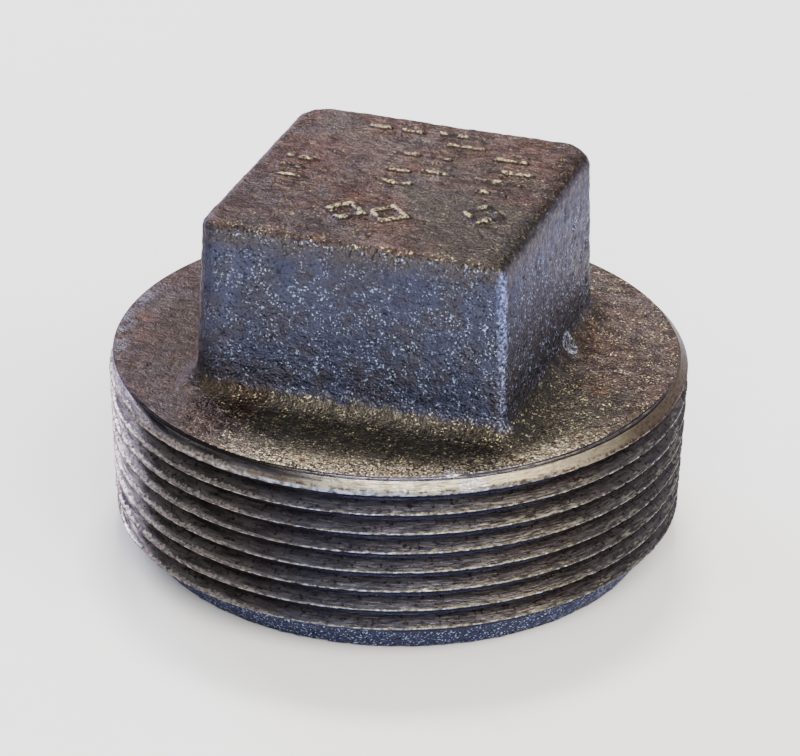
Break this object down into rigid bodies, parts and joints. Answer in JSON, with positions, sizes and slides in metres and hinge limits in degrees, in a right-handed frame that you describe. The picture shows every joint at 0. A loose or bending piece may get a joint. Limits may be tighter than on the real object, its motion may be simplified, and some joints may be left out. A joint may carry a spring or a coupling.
{
  "type": "square head pipe plug",
  "caption": "Iron pipe plug: square wrench head on a round collar, tapered external pipe thread below, cored-out underside.",
  "frame": {"origin": "centre of the bottom face, on the thread's axis", "axes": "+Z along the thread's axis, from the small end towards the head; the head's flats face +X, -X, +Y and -Y"},
  "size_m": [0.0606, 0.0606, 0.0393],
  "materials": {
    "black_iron": "as-cast black heat scale, sandy; the thread and the collar's edge are turned and brighter"
  },
  "bodies": {
    "root": {"plug_casting": "black_iron"}
  },
  "joints": []
}
